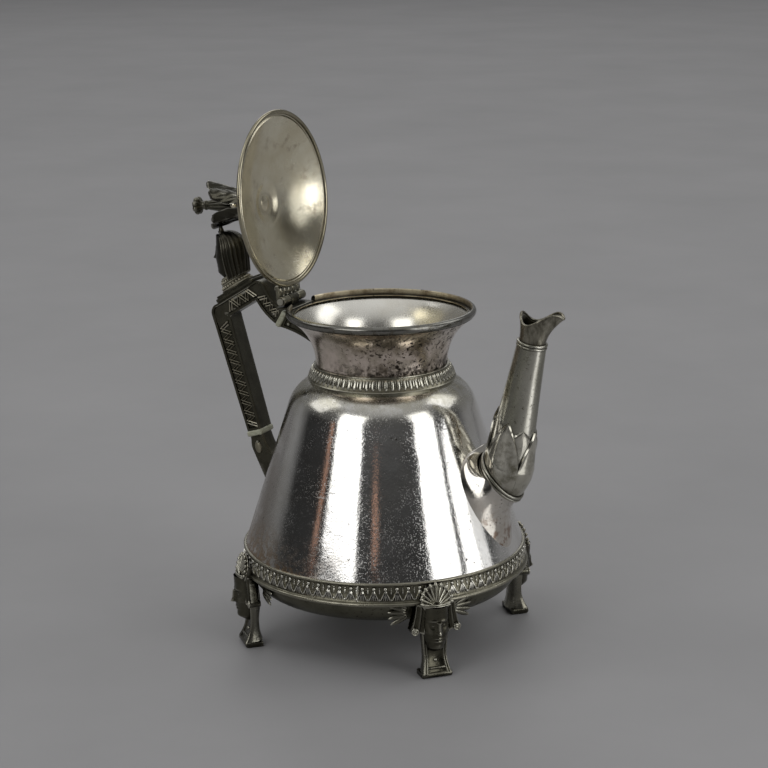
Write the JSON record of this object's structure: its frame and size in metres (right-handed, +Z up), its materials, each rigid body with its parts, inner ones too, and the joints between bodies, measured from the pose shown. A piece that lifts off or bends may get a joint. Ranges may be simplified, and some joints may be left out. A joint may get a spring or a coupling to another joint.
{
  "type": "coffee pot",
  "caption": "Tapered silver coffee pot on cast mask feet, with a flared neck, hinged domed lid, leafed spout and an angular handle topped by a bust",
  "frame": {"origin": "on the table, under the axis of the pot", "axes": "+Z up along the pot's axis, +X toward the spout, -X toward the handle, +Y to the pot's left; the lid is drawn open"},
  "size_m": [0.2194, 0.1576, 0.2845],
  "materials": {
    "silver": "polished silver plate with fine wear",
    "patina": "cast silver plate, dark in the hollows",
    "bone": "pale bone, worn smooth"
  },
  "bodies": {
    "pot": {"body_shell": "silver", "bottom_pan": "silver", "base_band": "patina", "neck_collar": "silver", "neck_band": "patina", "rim_ring": "silver", "foot_front_right": "patina", "foot_front_left": "patina", "foot_rear_right": "patina", "foot_rear_left": "patina", "spout_elbow": "silver", "spout_joint_ring": "silver", "spout_tube": "silver", "spout_calyx": "silver", "spout_lip_ring": "silver", "spout_lip": "silver", "handle_frame": "patina", "handle_bust": "patina", "upper_socket": "patina", "lower_socket": "patina", "upper_insulator": "bone", "lower_insulator": "bone", "insulator_pins": "silver", "hinge_bracket": "patina", "hinge_pin": "silver"},
    "lid": {"lid_hinge_leaf": "patina", "lid_dome": "silver", "finial_stem": "patina", "finial_leaves": "patina", "finial_knob": "patina", "finial_nut": "silver"}
  },
  "joints": [
    {"name": "lid_hinge", "type": "hinge", "parent": "pot", "child": "lid", "pos_m": [-0.0547, 0, 0.18205], "axis": [0, 1, 0], "range_deg": [0, 95.5]}
  ]
}
